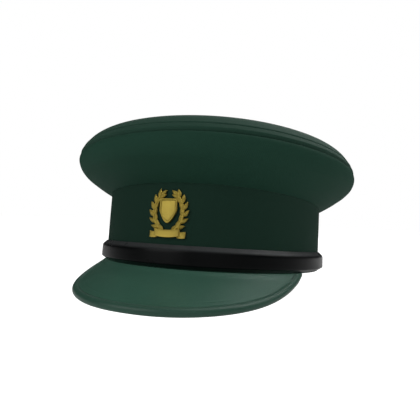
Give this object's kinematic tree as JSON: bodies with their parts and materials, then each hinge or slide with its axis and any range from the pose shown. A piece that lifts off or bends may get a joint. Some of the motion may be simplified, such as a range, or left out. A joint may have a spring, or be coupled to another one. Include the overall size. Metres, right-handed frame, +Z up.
{
  "type": "officer cap",
  "caption": "Uniform peaked cap: stiff cloth band, flared crown with a rolled welt, black leather strap, sloping peak with a rolled rim, gilt wreath badge.",
  "frame": {"origin": "middle of the overall box, on the surface that the cap rests on", "axes": "+Z up; -Y toward the front of the cap, where the peak and the badge are; +X toward the wearer's left"},
  "size_m": [0.2302, 0.2722, 0.1037],
  "materials": {
    "band_cloth": "matt dark green wool cloth",
    "crown_cloth": "matt dark green wool cloth",
    "strap_leather": "polished black leather",
    "peak_leather": "satin green leather",
    "badge_gilt": "worn gilt brass"
  },
  "bodies": {
    "root": {"band": "band_cloth", "crown_side": "crown_cloth", "crown_welt": "crown_cloth", "crown_top": "crown_cloth", "chin_strap": "strap_leather", "peak": "peak_leather", "peak_rim": "peak_leather", "badge": "badge_gilt"}
  },
  "joints": []
}
